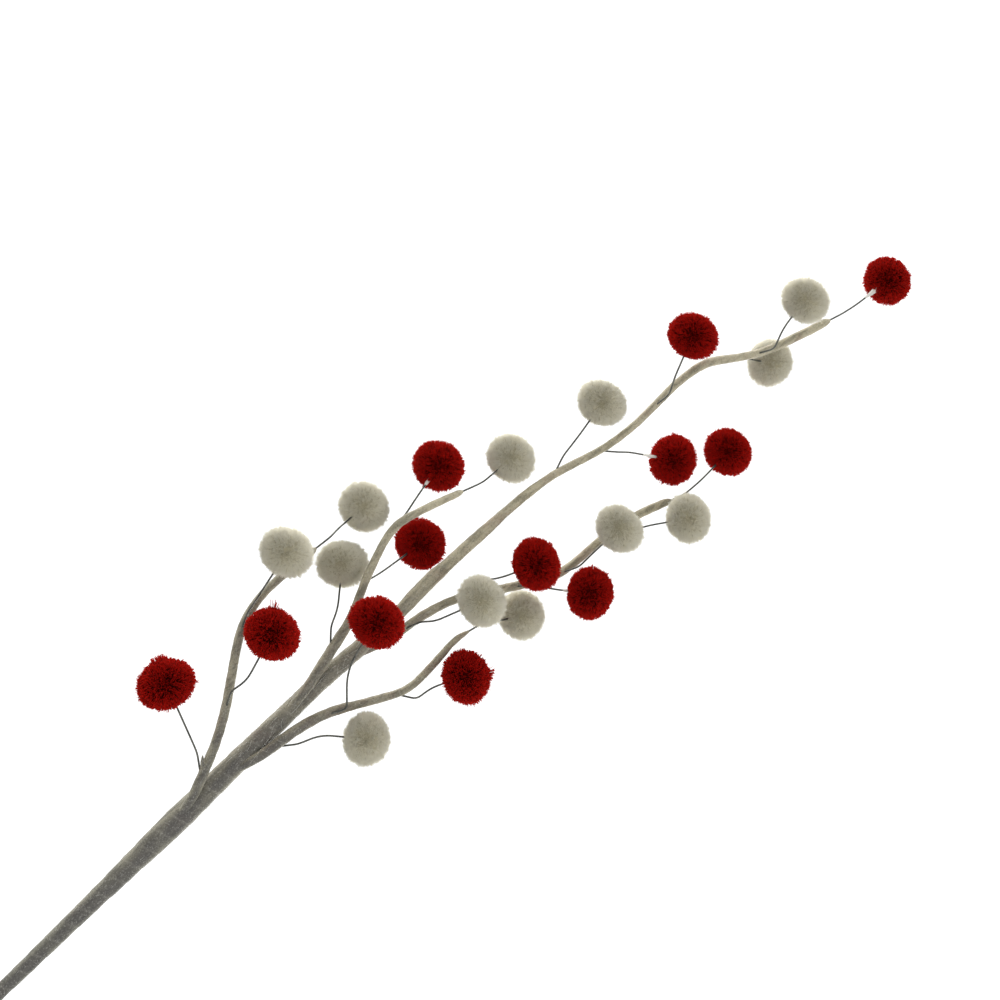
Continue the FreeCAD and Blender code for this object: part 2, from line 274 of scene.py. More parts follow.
def twig_line(letter):
    """The middle line and radii of a twig's tape, from its bending point to its tip.
    The cuts stop short of the slanting end of the tape, and the last point carries on from there
    in the same direction to just below its top."""
    node = "twig_" + letter + "_tape"
    foot = hinge("twig_" + letter + "_bend")
    top = corners(node)[:, 2].max()
    heights = np.arange(0.5 * MM, top - foot[2] - 2.2 * MM, CUT_SPACING)
    points, radii = cuts(node, foot, foot + UPWARD, heights, FORWARD)
    onward = unit(points[-1] - points[-3])
    tip = points[-1] + onward * (top - points[-1][2] - 0.8 * MM) / onward[2]
    return np.vstack([foot, points, tip]), np.concatenate([radii[:1], radii, radii[-1:]])


twig_lines = {letter: twig_line(letter) for letter in "abcde"}
for letter, (points, radii) in twig_lines.items():
    print("twig", letter, "rises", round((points[-1][2] - points[0][2]) / MM), "mm, radii",
          round(radii.min() / MM, 2), "to", round(radii.max() / MM, 2), "mm")

# %% [markdown]
# ## Tubes with a skin of our own
# A twig is a tube whose radius changes as it goes: the tape is wound in overlapping turns, so its
# skin rises in low steps that run round it as a screw's thread does. One function carries a ring
# along a line, and each piece gives it a table of radii, a row for each ring.

# %% Carry a ring along a line
def directions(points):
    """The direction of a line at each of its points."""
    return unit(np.gradient(points, axis=0))


def ring_axes(points, across):
    """Two directions square to the line at each point: across made square to the line, and the
    cross product of the line and that."""
    along = directions(points)
    first = unit(across - along * (along @ across)[:, None])
    return first, np.cross(along, first)


def turned(count):
    """Even angles round a full turn."""
    return np.arange(count) * 2 * math.pi / count


def capped(rings, sides):
    """The triangles of a closed skin: rings of points, and then the two poles that close its ends.
    Two triangles fill each gap between neighbours, and a fan joins each end ring to its pole."""
    ring, side = np.meshgrid(np.arange(rings - 1), np.arange(sides), indexing="ij")
    here, there = ring * sides + side, ring * sides + (side + 1) % sides
    walls = np.stack([here, there, there + sides, here, there + sides, here + sides], -1)
    turn = np.arange(sides)
    onward = (turn + 1) % sides
    last = (rings - 1) * sides
    bottom = np.stack([np.full(sides, rings * sides), onward, turn], -1)
    top = np.stack([np.full(sides, rings * sides + 1), last + turn, last + onward], -1)
    return np.vstack([walls.reshape(-1, 3), bottom, top])


def tube(points, radii, across):
    """A closed skin round a line. The point at ring k and angle t is
    line(k) + radius(k, t) * (cos t * first axis + sin t * second axis), with a pole at each end."""
    rings, sides = radii.shape
    first, second = ring_axes(points, across)
    angle = turned(sides)[None, :, None]
    skin = points[:, None] + radii[:, :, None] * (np.cos(angle) * first[:, None]
                                                  + np.sin(angle) * second[:, None])
    return np.vstack([skin.reshape(-1, 3), points[0], points[-1]]), capped(rings, sides)


def joined(parts):
    """Several (points, triangles) put together, with the later triangles' numbers moved on."""
    moved, start = [], 0
    for vertices, faces in parts:
        moved.append(faces + start)
        start += len(vertices)
    return np.vstack([vertices for vertices, _ in parts]), np.vstack(moved)


def piece(name, vertices, faces, material, slot, smooth=True):
    """A new object from rows of points and triangles, at the origin, with its finish."""
    mesh = bpy.data.meshes.new(name)
    mesh.vertices.add(len(vertices))
    mesh.vertices.foreach_set("co", np.ascontiguousarray(vertices, np.float32).ravel())
    mesh.loops.add(faces.size)
    mesh.loops.foreach_set("vertex_index", np.ascontiguousarray(faces, np.int32).ravel())
    mesh.polygons.add(len(faces))
    mesh.polygons.foreach_set("loop_start", np.arange(0, faces.size, 3, dtype=np.int32))
    mesh.update(calc_edges=True)
    mesh.validate()
    mesh.polygons.foreach_set("use_smooth", np.full(len(mesh.polygons), smooth))
    mesh.materials.append(material)
    made = bpy.data.objects.new(name, mesh)
    bpy.context.scene.collection.objects.link(made)
    return made


def attribute(made, name, values):
    """Give a piece one number at each of its points, for its material to read."""
    layer = made.data.attributes.new(name, "FLOAT", "POINT")
    layer.data.foreach_set("value", np.ascontiguousarray(values, np.float32).ravel())


# %% [markdown]
# ## Wound tape
# Floral tape is thin creped paper with a little wax in it. Each turn lies half over the last, so
# the edge of a turn stands up by a tenth of a millimetre or two and then sinks to the next. The
# radius adds that saw tooth and a few slow lumps to the size from the CAD.
#
# Rubbed paper also sheds fibres. They are far too thin to weld to the skin, so each is a tiny
# closed tube of its own, and one array of numbers holds them all.

# %% The tape's radius
def wound(radii, length, sides, pitch, step, lumps, seed):
    """Radii for each ring and side of a wound tube, and three marks for its finish.
    The turn's phase is length / pitch - angle / full turn, and its fraction falls from the raised
    edge to the next one. Lumps are a sum of slow cosine waves round and along the tube. The marks
    are how near a point is to a tape's edge, its phase, and the cosine of its angle, which is 1
    along the front of the tube."""
    rng = np.random.default_rng(seed)
    angle = turned(sides)[None, :]
    along = length[:, None]
    uneven = 0.16 * np.sin(along / (2.3 * pitch) + 1.3 * np.sin(along / (5.1 * pitch)))
    phase = (along / pitch - angle / (2 * math.pi) + uneven) % 1.0
    rise_share, edge_width, waves = 0.10, 0.07, 6
    saw = np.clip(phase / rise_share, 0, 1) * (1 - phase)
    slow = np.zeros_like(phase)
    for _ in range(waves):
        turns = rng.integers(0, 4)
        wave = rng.uniform(5, 28) * MM
        slow += np.cos(turns * angle + along * 2 * math.pi / wave + rng.uniform(0, 6.3)) / waves
    edge = sum(np.exp(-((phase - place) / edge_width) ** 2) for place in (0.06, 1.04))
    front = np.broadcast_to(np.cos(angle), phase.shape)
    marks = {"edge": edge, "phase": phase, "front": front}
    return radii[:, None] * (1 + lumps * slow) + step * (saw - 0.4), marks


def marked(made, marks, before, pale_from):
    """Give a wound piece its marks. Points before its first ring and after its last get 0, and
    points from the number pale_from on are pale."""
    count = len(made.data.vertices)
    for name, values in marks.items():
        attribute(made, name, np.pad(values.ravel(), (before, count - before - values.size)))
    attribute(made, "pale", np.arange(count) >= pale_from)


def along_line(points):
    """How far each point is along its line."""
    steps = np.linalg.norm(np.diff(points, axis=0), axis=1)
    return np.concatenate([[0.0], np.cumsum(steps)])


def fuzz(points, radii, across, count, longest, thickness, seed, low=0.0, high=1.0):
    """Loose fibres that stand off a tube between two shares of its length, low and high.
    Each is a bent hair with three sides and five rings, and its point at t is
    root + length * (t * outwards and onwards + t squared * curl)."""
    rng = np.random.default_rng(seed)
    index = rng.integers(int(low * (len(points) - 2)), int(high * (len(points) - 2)), count)
    first, second = ring_axes(points, across)
    angle = rng.uniform(0, 2 * math.pi, count)[:, None]
    outward = np.cos(angle) * first[index] + np.sin(angle) * second[index]
    onward = directions(points)[index] * rng.choice([-1.0, 1.0], count)[:, None]
    reach = (rng.uniform(0.3, 1.0, count) * longest)[:, None, None]
    t = np.linspace(0, 1, 5)[None, :, None]
    lean = unit(outward * rng.uniform(0.1, 0.6, (count, 1)) + onward)[:, None]
    curl = rng.normal(0, 0.45, (count, 1, 3))
    middle = (points[index] + outward * radii[index][:, None] * 0.97)[:, None]
    middle = middle + reach * (t * lean + t * t * curl)
    return hairs(middle, thickness * (1 - 0.6 * t[..., 0]), outward)


def hairs(middle, radius, side):
    """Three-sided tubes along many lines at once, each closed with a triangle at both ends."""
    count, rings = middle.shape[:2]
    along = unit(np.gradient(middle, axis=1))
    first = unit(np.cross(along, side[:, None] + 0.01))
    second = np.cross(along, first)
    angle = turned(3)[:, None]
    skin = middle[:, :, None] + radius[:, :, None, None] * (
        np.cos(angle) * first[:, :, None] + np.sin(angle) * second[:, :, None])
    one = []
    for ring in range(rings - 1):
        for corner in range(3):
            here, there = ring * 3 + corner, ring * 3 + (corner + 1) % 3
            one += [(here, there, there + 3), (here, there + 3, here + 3)]
    top = (rings - 1) * 3
    one += [(0, 2, 1), (top, top + 1, top + 2)]
    faces = np.array(one)[None] + (np.arange(count) * rings * 3)[:, None, None]
    return skin.reshape(-1, 3), faces.reshape(-1, 3)

# %% [markdown]
# ## The tape's finish
# The paper is a pale grey-beige, with darker grey-green streaks along it and a few rosy patches,
# which are painted reflection of the red balls. Its raised edges are rubbed lighter. The low stem
# is darker and greyer than the twigs, partly a tone of its own and partly painted shade. The front,
# which faces the camera, is painted a dark speckled grey as shade, most of all low down, while the
# sides stay pale, and the trough before each turn's raised edge gets painted shade. The creases run
# along the tube, so the streaks come from spots that are stretched lengthways. A Bump node turns
# them into small ridges.

# %% Make the tape finish
def tape_finish():
    """Creped paper: a ground colour that turns paler up the spray, partly as painted shade, and
    layers of marks over it, among them painted shade and a painted reflection.
    """
    finish = Finish("wound_paper_tape")
    mark = {name: finish.node("Attribute", {"attribute_name": name}, {}, 2)
            for name in ("edge", "phase", "front", "pale")}
    place = finish.node("TexCoord", {}, {}, 3)
    long = finish.node("Mapping", {}, {"Vector": place, "Scale": (1.0, 1.0, 0.22)})
    creases = finish.speckle(long, 2600.0, 3.0)
    streaks = finish.speckle(long, 420.0, 3.0)
    grain = finish.speckle(place, 1500.0, 3.0)
    blotches = finish.speckle(place, 75.0, 2.0)
    height = finish.ramp(finish.node("SeparateXYZ", {}, {"Vector": place}, 2), 0.02, 0.34)
    # Darker low down: partly the low tape's own greyer tone and partly painted shade.
    ground = finish.blend(height ** 1.4, colour(0.150, 0.146, 0.110), colour(0.43, 0.385, 0.255))
    dark = finish.blend(height ** 1.4, colour(0.030, 0.028, 0.022), colour(0.16, 0.145, 0.085))
    green = finish.blend(finish.ramp(streaks, 0.46, 0.62) * 0.65, ground, dark)
    # Painted reflection: rosy patches that stand for red light thrown on the tape by the red balls,
    # more of them up high.
    painted_red_reflection = finish.blend(finish.ramp(blotches, 0.54, 0.68) * height * 0.25, green,
                        colour(0.32, 0.17, 0.11))
    # Painted shade: the front of the stem and twigs, which faces the camera, is painted a dark
    # speckled grey, most of all low down.
    painted_front_shade = finish.ramp(mark["front"] + blotches * 0.7, 0.75, 1.30)
    low = finish.ramp(height, 1.15, 0.55) * 0.72 + 0.12
    front = finish.blend(painted_front_shade * low, painted_red_reflection, colour(0.052, 0.048, 0.046))
    spots = finish.blend(finish.ramp(grain, 0.56, 0.70) * 0.42, front, colour(0.36, 0.35, 0.31))
    pits = finish.blend(finish.ramp(grain, 0.46, 0.32) * 0.45, spots, colour(0.030, 0.028, 0.020))
    # Painted shade in the low trough just before each turn's raised edge.
    shade = finish.blend(finish.ramp(mark["phase"], 0.72, 1.0) * 0.20, pits,
                         colour(0.085, 0.08, 0.055))
    rubbed = finish.blend(finish.ramp(mark["edge"], 0.3, 1.0) * 0.08, shade,
                          colour(0.55, 0.52, 0.43))
    frayed = finish.blend(mark["pale"] * 0.75, rubbed, colour(0.74, 0.73, 0.68))
    relief = finish.node("Bump", {}, {"Strength": 0.7, "Distance": 0.0004,
                                      "Height": creases * 0.6 + streaks * 0.8})
    surface = finish.node("BsdfPrincipled", {}, {
        "Base Color": frayed, "Roughness": finish.ramp(creases, 0.0, 1.0) * 0.25 + 0.58,
        "Normal": relief, "Sheen Weight": 0.15})
    return finish.done(surface)


tape = tape_finish()
print("tape finish:", len(tape.node_tree.nodes), "nodes")

# %% [markdown]
# ## The stem
# The stem is a steel rod with the twigs' own wires laid round it, and tape wound over the bundle.
# It is even at the cut end, swells to a collar below the first fork and thins out to the top. Below
# the fork its radii come from cuts through the CAD stem. Above it the twigs' own skins start inside
# the stem, so only its middle line is needed. At the butt the skin turns in under the tape and
# ends inside the rod, so that the cut steel shows in its middle.

# %% Build the stem
def stem_line():
    """The middle line and radii of the stem's skin, from the butt to the foot of twig c.
    Cuts give it up to the first fork. Five points above it lead on to the last twig's foot."""
    fork = hinge("twig_a_bend")[2] - 16 * MM
    heights = np.arange(0.5 * MM, fork, CUT_SPACING)
    line, size = cuts("stem_tape", np.zeros(3), UPWARD, heights, FORWARD)
    top, last = hinge("twig_c_bend") - UPWARD * 3 * MM, hinge("twig_b_bend")[2]
    upper = np.array([[0, 0, fork + 34 * MM], [0, 0, last - 10 * MM], [0, 0, last],
                      [top[0] * 0.45, top[1] * 0.45, (last + top[2]) / 2], top])
    sizes = np.array([4.9, 4.2, 4.2, 3.9, 3.2]) * MM
    return evened(np.vstack([line, upper]), np.concatenate([size, sizes]), RING_SPACING, 9)


def rounded_end(length, run, least=0.12):
    """Shares of the radius that round a tube's far end off over a run, as a quarter of a circle."""
    into = np.clip((length - length[-1] + run) / run, 0, 1)
    return np.sqrt(np.clip(1 - into ** 2, least ** 2, 1))


SIDES = 36
middle, size = stem_line()
length = along_line(middle)
radii, marks = wound(size, length, SIDES, 9.0 * MM, 0.18 * MM, 0.035, 3)
radii *= rounded_end(length, 4 * MM)[:, None]
_, rod = cuts("stem_rod", np.zeros(3), UPWARD, [5 * MM], FORWARD)
inner = rod[0] + 0.06 * MM
turned_in = np.array([[0, 0, 5.0], [0, 0, 0.15], [0, 0, 0.08]]) * MM
butt = np.repeat([[inner], [inner], [(inner + size[0]) / 2]], SIDES, 1)
skin = tube(np.vstack([turned_in, middle]), np.vstack([butt, radii]), FORWARD)
loose = [fuzz(middle, size, FORWARD, 520, 2.4 * MM, 0.040 * MM, 5, 0.02),
         fuzz(middle, size, FORWARD, 170, 8.0 * MM, 0.055 * MM, 6, 0.68, 0.95)]
stem = piece("stem_wound_tape", *joined([skin] + loose), tape, "tape")
marked(stem, marks, butt.size, len(skin[0]))
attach(stem, "stem")
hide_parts("stem_tape")
print("stem:", len(stem.data.polygons), "triangles,", round(length[-1] / MM), "mm long")

# %% [markdown]
# ## The twigs
# Each twig is a bundle of wires under the same tape. Its skin starts inside the stem and comes out
# of its side, as the real one does where the tape of both runs together, and it ends in a soft
# blunt tip where one wire goes on.

# %% Build the twigs
def root_curve(foot, heading, drop):
    """The part of a twig inside the stem: a curve with the place and direction of both its ends.
    At share t it is the cubic that leaves the stem's middle going up, and reaches the foot along
    the twig's direction."""
    start = np.array([0.0, 0.0, foot[2] - drop])
    start[:2] = foot[:2] * 0.12
    t = np.linspace(0, 1, 14)[:-1, None]
    pull = 1.1 * drop
    return ((2 * t ** 3 - 3 * t ** 2 + 1) * start + (t ** 3 - 2 * t ** 2 + t) * pull * UPWARD
            + (3 * t ** 2 - 2 * t ** 3) * foot + (t ** 3 - t ** 2) * pull * heading)


def build_twig(letter, drop, tip_run, seed):
    """A twig's wound skin and its loose fibres, as one piece."""
    points, size = twig_lines[letter]
    foot, heading = points[0], unit(points[3] - points[0])
    root = root_curve(foot, heading, drop)
    swell = size[0] * np.linspace(0.72, 1.0, len(root))
    table = np.concatenate([swell, size])
    middle, size = evened(np.vstack([root, points]), table, RING_SPACING, 7)
    length = along_line(middle)
    radii, marks = wound(size, length, 24, 6.5 * MM, 0.12 * MM, 0.05, seed)
    # The painted front shade is weaker out along the twig than inside the stem.
    marks["front"] = marks["front"] * np.interp(length, [drop, 2.5 * drop], [1, 0.72])[:, None]
    radii *= rounded_end(length, tip_run, 0.25)[:, None]
    skin = tube(middle, radii, FORWARD)
    hair_count = int(length[-1] / MM * 1.6)
    loose = fuzz(middle, size, FORWARD, hair_count, 1.7 * MM, 0.03 * MM, seed, 0.12)
    made = piece("twig_" + letter + "_wound_tape", *joined([skin, loose]), tape, "tape")
    marked(made, marks, 0, len(skin[0]))
    half = heading * 4 * MM
    foot - half
    foot + half
    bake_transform(made)
    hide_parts("twig_" + letter + "_tape", "twig_" + letter + "_wires")
    return made


for letter, drop, tip_run, seed in (("a", 24 * MM, 4 * MM, 11), ("b", 30 * MM, 4 * MM, 12),
                                    ("c", 26 * MM, 5 * MM, 13), ("d", 30 * MM, 5 * MM, 14),
                                    ("e", 26 * MM, 9 * MM, 15)):
    made = build_twig(letter, drop, tip_run, seed)
    print(made.name, len(made.data.polygons), "triangles")

# %% [markdown]
# ## Bare wire
# The wires are soft iron with a thin dark skin, so they are half metal: dark, a little green, and
# brighter where light runs along them. The rod in the stem is cleaner, and scratched across its
# cut face.

# %% Make the metal finishes
def wire_finish(name, dark, light, roughness):
    """Bare metal with darker and lighter stains, and fine scratches that also bump it."""
    finish = Finish(name)
    place = finish.node("TexCoord", {}, {}, 3)
    stains = finish.speckle(place, 240.0, 3.0)
    scratches = finish.speckle(finish.node("Mapping", {}, {"Vector": place, "Scale": (1, 1, 0.2)}),
                               3200.0, 2.0)
    relief = finish.node("Bump", {}, {"Strength": 0.25, "Distance": 0.00005, "Height": scratches})
    surface = finish.node("BsdfPrincipled", {}, {
        "Base Color": finish.blend(finish.ramp(stains, 0.35, 0.65), dark, light),
        "Metallic": finish.ramp(stains, 0.2, 0.5) * 0.4 + 0.45,
        "Roughness": scratches * 0.25 + roughness, "Normal": relief})
    return finish.done(surface)


wire = wire_finish("dark_soft_wire", colour(0.055, 0.057, 0.048), colour(0.13, 0.13, 0.11), 0.40)
steel = wire_finish("cut_steel", colour(0.42, 0.42, 0.40), colour(0.62, 0.62, 0.60), 0.28)
rod_node = frame["nodes"]["stem_rod"]
rod_node.data.materials.clear()
rod_node.data.materials.append(steel)
print("metals:", wire.name, "and", steel.name)

# %% [markdown]
# ## Each pom pom's wire
# A wire leaves the side or the tip of its twig, bends by hand where it is needed and goes into its
# ball. The line comes from cuts square to the way from its bending point to the ball. It starts a
# little inside the twig's tape.

# %% Build the wires
POMS = "a1 a2 a3 a4 b1 b2 b3 b4 c1 c2 c3 c4 c5 c6 d1 d2 d3 d4 d5 d6 e1 e2 e3 e4".split()
RED = "a1 a2 b2 b3 c2 c3 c6 d2 d3 d6 e2 e3".split()
ASKEW = [0.31, 0.9, 0.2]    # a direction that no wire runs along, to set a ring's axes by


def ball_middle(pom):
    """The middle of a ball's CAD solid."""
    low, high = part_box("pom_" + pom + "_yarn_ball")
    return np.array((low + high) / 2)


def wire_line(pom):
    """A wire's middle line, from inside its twig's tape to inside its ball, and its radii. Then its
    bending point and the direction in which it leaves."""
    start, goal = hinge("pom_" + pom + "_bend"), ball_middle(pom)
    reach = np.linalg.norm(goal - start)
    distances = np.arange(0.6 * MM, reach - 5 * MM, 0.8 * MM)
    across = np.cross(goal - start, ASKEW)
    points, radii = cuts("pom_" + pom + "_wire", start, goal, distances, across)
    heading = unit(points[2] - start)
    tail = start - heading * np.array([4.2, 2.8, 1.4])[:, None] * MM
    line = np.vstack([tail, start, points])
    girth = np.full(len(line), np.median(radii))
    return evened(line, girth, RING_SPACING, 3), start, heading


wires = {}
for pom in POMS:
    (line, girth), start, heading = wire_line(pom)
    skin = tube(line, np.repeat(girth[:, None], 10, 1), unit(np.cross(heading, ASKEW)))
    made = piece("pom_" + pom + "_bare_wire", *skin, wire, "wire")
    half = heading * 1.3 * MM
    "twig_" + pom[0]
    "pom_" + pom
    start - half
    start + half
    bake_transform(made)
    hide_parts("pom_" + pom + "_wire")
    wires[pom] = line
longest = max(along_line(line)[-1] for line in wires.values())
print(len(wires), "wires, the longest", round(longest / MM), "mm")

# %% [markdown]
# ## Cut yarn
# A pom pom is yarn tied round its middle and trimmed to a ball. Its skin is the cut ends of
# thousands of fibres, which stand in small tufts, one for each strand of the yarn. The red yarn is
# thick and blunt. The cream yarn is finer and runs out to soft points. Here each fibre is a small
# closed spike round a core painted dark as shade, and only its outer third is made, since the rest
# never shows. A fibre's place along its length and its own tint are its UV map, so the finish can
# paint shade dark at the roots and keep the tips light.

# %% Grow the fibres
ROOT_SHARE = 0.72    # where a fibre starts, as a share of the skin's distance
# The roots and the cut ends get low heights, so the finish paints them dark as shade.
ROOT_MARK, CUT_END_SHADE_MARK, TIP_MARK = 0.03, 0.42, 0.97    # heights of a root, a cut end and a tip


def even_directions(count, rng):
    """Directions spread evenly over a ball: each turns on by the golden angle while its height
    falls in equal steps. Then each is nudged by a little chance."""
    step = np.arange(count) + 0.5
    height = 1 - 2 * step / count
    ring = np.sqrt(1 - height ** 2)
    angle = step * math.pi * (3 - math.sqrt(5))
    spread = np.stack([ring * np.cos(angle), ring * np.sin(angle), height], 1)
    return unit(spread + rng.normal(0, 0.9 / math.sqrt(count), spread.shape))


class Ball:
    """The trimmed shape of one pom pom: a ball that is flatter along its wire, with soft dents."""

    def __init__(self, pom, seed):
        self.rng = np.random.default_rng(seed)
        points = corners("pom_" + pom + "_yarn_ball")
        self.middle = ball_middle(pom)
        away = np.linalg.norm(points - self.middle, axis=1)
        skin = away[away > 0.6 * away.max()]
        self.across, self.along = skin.max(), skin.min()
        self.axis = unit(self.middle - wires[pom][-1])
        self.waves = self.rng.normal(0, 2.3, (7, 3))
        self.shifts = self.rng.uniform(0, 6.3, 7)

    def reach(self, directions):
        """How far the trimmed skin is from the middle: the radius of the flat ball that way, and a
        sum of slow cosine waves for the dents."""
        up = directions @ self.axis
        plain = 1 / np.sqrt((1 - up ** 2) / self.across ** 2 + up ** 2 / self.along ** 2)
        dents = np.cos(directions @ self.waves.T + self.shifts).mean(-1)
        return plain * (0.962 + 0.045 * dents)


def prisms(root, tip, root_radius, tip_radius, turn):
    """Closed spikes with three sides: a triangle at each root carried to a triangle at each tip, or
    to a point where the tip radius is nothing."""
    along = unit(tip - root)
    first = unit(np.cross(along, [0.37, 0.61, 0.7]))
    second = np.cross(along, first)
    angle = turn[:, None] + turned(3)
    ring = np.cos(angle)[..., None] * first[:, None] + np.sin(angle)[..., None] * second[:, None]
    foot = root[:, None] + ring * root_radius
    if tip_radius == 0:
        return np.concatenate([foot, tip[:, None]], 1), np.array([(0, 1, 3), (1, 2, 3), (2, 0, 3)])
    one = [(k, (k + 1) % 3, (k + 1) % 3 + 3) for k in range(3)]
    one += [(k, (k + 1) % 3 + 3, k + 3) for k in range(3)] + [(3, 4, 5)]
    return np.concatenate([foot, tip[:, None] + ring * tip_radius], 1), np.array(one)


def core(ball, share):
    """A lumpy ball below the fibres, on a grid of latitude and longitude, with a pole at each end.
    Its skin lies at a share of the trimmed skin's distance, give or take a few hundredths."""
    rows, columns = 22, 40
    latitude = np.linspace(-0.5, 0.5, rows + 2)[1:-1] * math.pi
    height, turn = np.meshgrid(latitude, turned(columns), indexing="ij")
    spread = np.stack([np.cos(height) * np.cos(turn), np.cos(height) * np.sin(turn),
                       np.sin(height)], -1).reshape(-1, 3)
    spread = np.vstack([spread, [0, 0, -1], [0, 0, 1]])
    lumps = share * (1 + ball.rng.normal(0, 0.02, len(spread)))
    vertices = ball.middle + spread * (ball.reach(spread) * lumps)[:, None]
    return vertices, capped(rows, columns)


def grow(ball, tufts, fibres, spread, ragged, root_radius, tip_radius, stray):
    """The fibres of one ball. A tuft has one direction, and its fibres fan out round it. Each fibre
    starts at a share of the skin's distance and ends at the skin, longer or shorter by chance, for
    the tuft as a whole and for the fibre. Inside a stray region the tufts are longer. Each corner
    of each triangle gets two marks: the fibre's tint and its height, which is less on a cut end, so
    that the finish paints the cut ends darker, as painted shade."""
    rng = ball.rng
    tuft = even_directions(tufts, rng)
    fan = rng.normal(0, spread, (tufts, fibres, 3))
    way = unit(tuft[:, None] + fan)
    trim = 1 + rng.normal(0, ragged, (tufts, 1)) + rng.normal(0, ragged * 0.8, (tufts, fibres))
    trim += (rng.random((tufts, 1)) > 0.985) * rng.uniform(0.02, 0.07, (tufts, 1))
    for aim, width, extra in stray:
        near = np.clip(1 - np.arccos(np.clip(tuft @ unit(np.array(aim)), -1, 1)) / width, 0, 1)
        trim += (near * extra * rng.uniform(0.2, 1.0, tufts))[:, None]
    lean = rng.normal(0, 0.035, (tufts, 1, 3)) + fan * 0.5 + rng.normal(0, 0.012, fan.shape)
    way, lean, trim = way.reshape(-1, 3), lean.reshape(-1, 3), trim.reshape(-1)
    skin = ball.reach(way)[:, None]
    root = ball.middle + way * skin * ROOT_SHARE
    tip = ball.middle + (way + lean) * skin * trim[:, None]
    turn = rng.uniform(0, 6.3, len(way))
    vertices, one = prisms(root, tip, root_radius, tip_radius, turn)
    tint = (rng.random((tufts, 1)) * 0.7 + rng.random((tufts, fibres)) * 0.3).reshape(-1)
    height = np.where(one < 3, ROOT_MARK, TIP_MARK)
    if tip_radius:
        height[-1] = CUT_END_SHADE_MARK
    marks = np.stack(np.broadcast_arrays(tint[:, None, None].clip(0.02, 0.98), height[None]), -1)
    faces = one[None] + (np.arange(len(way)) * vertices.shape[1])[:, None, None]
    return vertices.reshape(-1, 3), faces.reshape(-1, 3), marks.reshape(-1, 2)


# %% [markdown]
# ## The yarn's finish
# Wool lets light through: the rim of a ball glows when a lamp stands behind it, while its middle
# stays deep. So the finish mixes an ordinary rough surface with one that passes light. The roots
# are painted far darker than the tips, as painted shade for the gaps between the fibres.

# %% Make the yarn finishes
def yarn_finish(name, root, deep, tip, pale, through, share, gloss):
    """Yarn in four tones, from its roots, painted dark as shade, to its palest tips, and the colour
    of light through it.
    """
    finish = Finish(name)
    marks = finish.node("UVMap", {"uv_map": "OFBake"}, {})
    tint = finish.node("SeparateXYZ", {}, {"Vector": marks}, 0)
    height = finish.node("SeparateXYZ", {}, {"Vector": marks}, 1)
    ends = finish.blend(tint ** 1.3, tip, pale)
    # Painted shade: the colour darkens from the tips down to the roots, so cut ends and gaps look
    # deep.
    body = finish.blend(height ** 1.6, deep, ends)
    whole = finish.blend(finish.ramp(height, 0.0, 0.25), root, body)
    cloth = finish.node("BsdfPrincipled", {}, {
        "Base Color": whole, "Roughness": tint * 0.15 + 0.82, "Sheen Weight": gloss,
        "Specular IOR Level": gloss})
    glow = finish.node("BsdfTranslucent", {}, {"Color": through})
    return finish.done(finish.node("MixShader", {}, {0: share, 1: cloth, 2: glow}))


# The root and deep tones are painted shade between the fibres; the tip and pale tones are the
# yarn's own colour.
red_yarn = yarn_finish("deep_red_yarn", colour(0.012, 0.0004, 0.0002), colour(0.05, 0.0010, 0.0005),
                       colour(0.42, 0.0080, 0.0030), colour(0.62, 0.0140, 0.0060),
                       colour(0.85, 0.0120, 0.0040), 0.34, 0.03)
cream_yarn = yarn_finish("cream_yarn", colour(0.46, 0.42, 0.29), colour(0.80, 0.755, 0.58),
                         colour(0.92, 0.885, 0.75), colour(0.98, 0.965, 0.88),
                         colour(0.96, 0.915, 0.74), 0.34, 0.12)
print("yarns:", red_yarn.name, "and", cream_yarn.name)

# %% [markdown]
# ## The balls
# A trimmed ball is never perfect: here and there a tuft was missed, and stands out as a crown or a
# spike. The table gives each such place as a direction, how wide it is in radians and how much
# longer its tufts are. Cut ends are blunt on the red yarn, and the cream fibres run out to points.

# %% Make the balls
STRAYS = {"a1": [((-0.87, 0.05, 0.50), 0.34, 0.38), ((-0.95, 0.1, 0.25), 0.18, 0.22)],
          "a2": [((-0.72, 0.0, 0.70), 0.15, 0.70), ((-0.5, 0.0, 0.87), 0.25, 0.16)],
          "c2": [((0.62, -0.34, 0.66), 0.16, 0.20)], "c3": [((-0.1, -0.24, 0.96), 0.16, 0.22)],
          "d3": [((0.75, -0.3, 0.55), 0.30, 0.13)], "e3": [((0.52, -0.34, 0.80), 0.30, 0.36)],
          "d4": [((0.75, -0.3, 0.20), 0.50, 0.06)], "d5": [((0.40, -0.3, 0.90), 0.50, 0.07)],
          "b1": [((0.63, -0.34, 0.60), 0.5, 0.07)], "c4": [((-0.6, 0.20, -0.70), 0.5, 0.07)],
          "e4": [((0.74, 0.00, -0.60), 0.5, 0.06)], "d1": [((0.30, -0.2, 0.80), 0.5, 0.06)]}
# The core is painted as dark as the roots, as painted shade inside the ball.
CORE_SHADE_MARKS = [0.5, 0.02]    # the core's tint and height in the map: as dark as the roots


